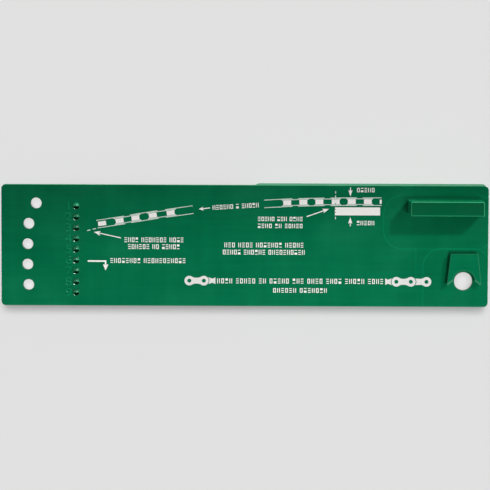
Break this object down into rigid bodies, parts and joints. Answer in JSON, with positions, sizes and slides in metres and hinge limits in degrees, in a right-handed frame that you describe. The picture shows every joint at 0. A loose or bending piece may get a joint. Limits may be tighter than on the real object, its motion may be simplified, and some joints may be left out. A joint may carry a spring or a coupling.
{
  "type": "chain wear gauge",
  "caption": "Flat moulded plate with sight holes, a row of scale pips, a raised pinch bar and a notched boss, for reading the wear of a roller chain.",
  "frame": {"origin": "under the middle of the part's box, in the plane of the rim it rests on", "axes": "+X along the plate towards the bar and the notch, +Y across it towards the bar, +Z out of the printed face"},
  "size_m": [0.2276, 0.057, 0.0315],
  "materials": {
    "moulded_plastic": "satin"
  },
  "bodies": {
    "root": {"gauge_body": "moulded_plastic"}
  },
  "joints": []
}
